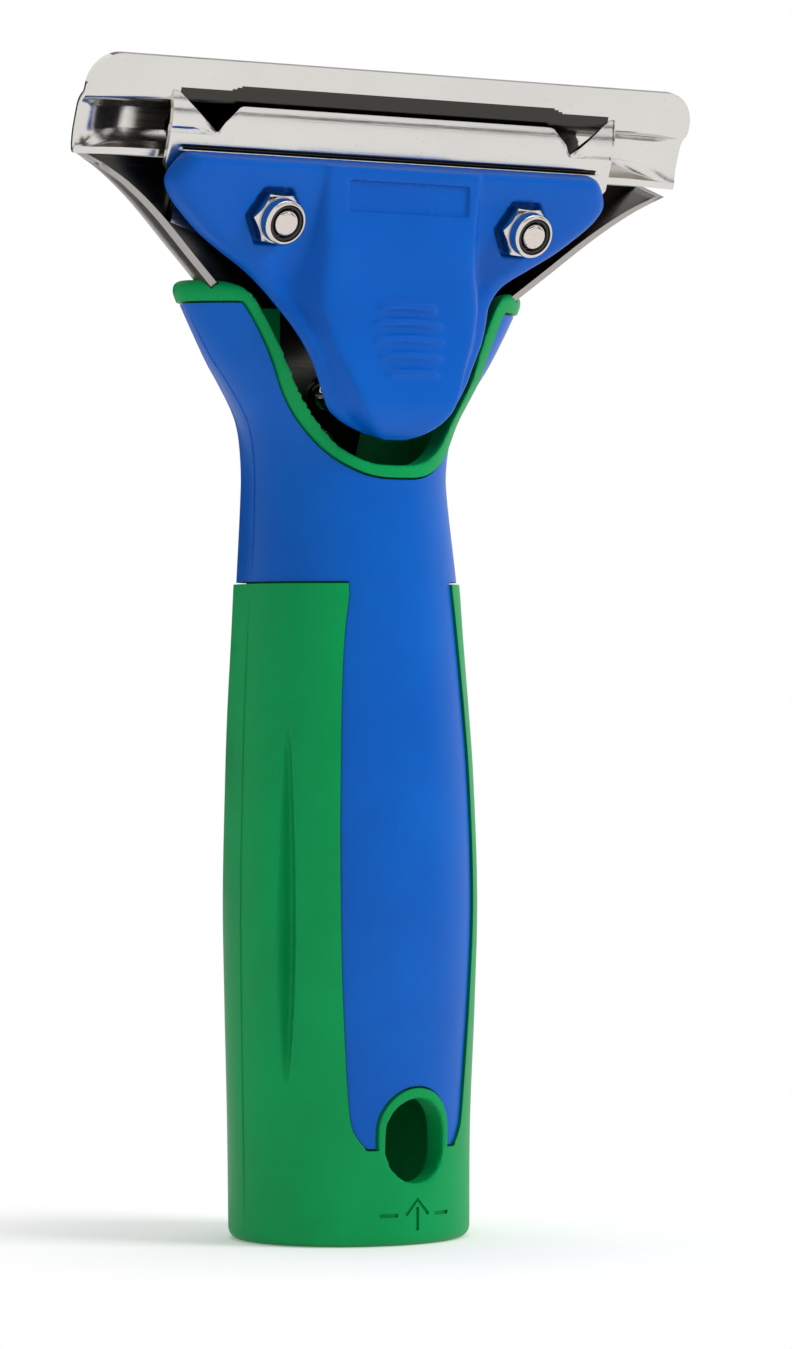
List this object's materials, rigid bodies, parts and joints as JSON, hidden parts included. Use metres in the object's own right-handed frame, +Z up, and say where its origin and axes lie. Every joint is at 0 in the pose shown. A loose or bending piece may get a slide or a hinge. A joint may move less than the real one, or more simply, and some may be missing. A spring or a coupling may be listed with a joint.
{
  "type": "window squeegee handle",
  "caption": "Hand squeegee handle: plastic grip with a pole socket, a bent steel clamping head leaning forward, and a sprung thumb lever that opens the front jaw.",
  "frame": {"origin": "on the ground under the middle of the bounding box, where the handle stands on its base", "axes": "+Z up along the handle, +X along the jaw to the right, -Y out of the front, where the thumb lever is"},
  "size_m": [0.1052, 0.0354, 0.1704],
  "materials": {
    "green_plastic": "moulded, satin",
    "blue_plastic": "moulded, satin",
    "polished_steel": "polished stainless sheet",
    "dark_nylon": "smooth nylon"
  },
  "bodies": {
    "handle": {"handle_core": "green_plastic", "grip_cover": "blue_plastic", "back_plate": "polished_steel", "rear_jaw": "polished_steel", "bolt_left": "polished_steel", "bolt_right": "polished_steel", "nut_left": "polished_steel", "nut_right": "polished_steel", "nut_ring_left": "dark_nylon", "nut_ring_right": "dark_nylon", "return_spring": "polished_steel", "tang_screw_upper": "polished_steel", "tang_screw_lower": "polished_steel"},
    "lever": {"thumb_lever": "blue_plastic", "front_jaw": "polished_steel"}
  },
  "joints": [
    {"name": "jaw_hinge", "type": "hinge", "parent": "handle", "child": "lever", "pos_m": [0, -0.01292, 0.15193], "axis": [1, 0, 0], "range_deg": [0, 8], "stiffness_Nm_per_rad": 1.5, "springref_deg": -11.46, "deforming": ["return_spring"]}
  ]
}
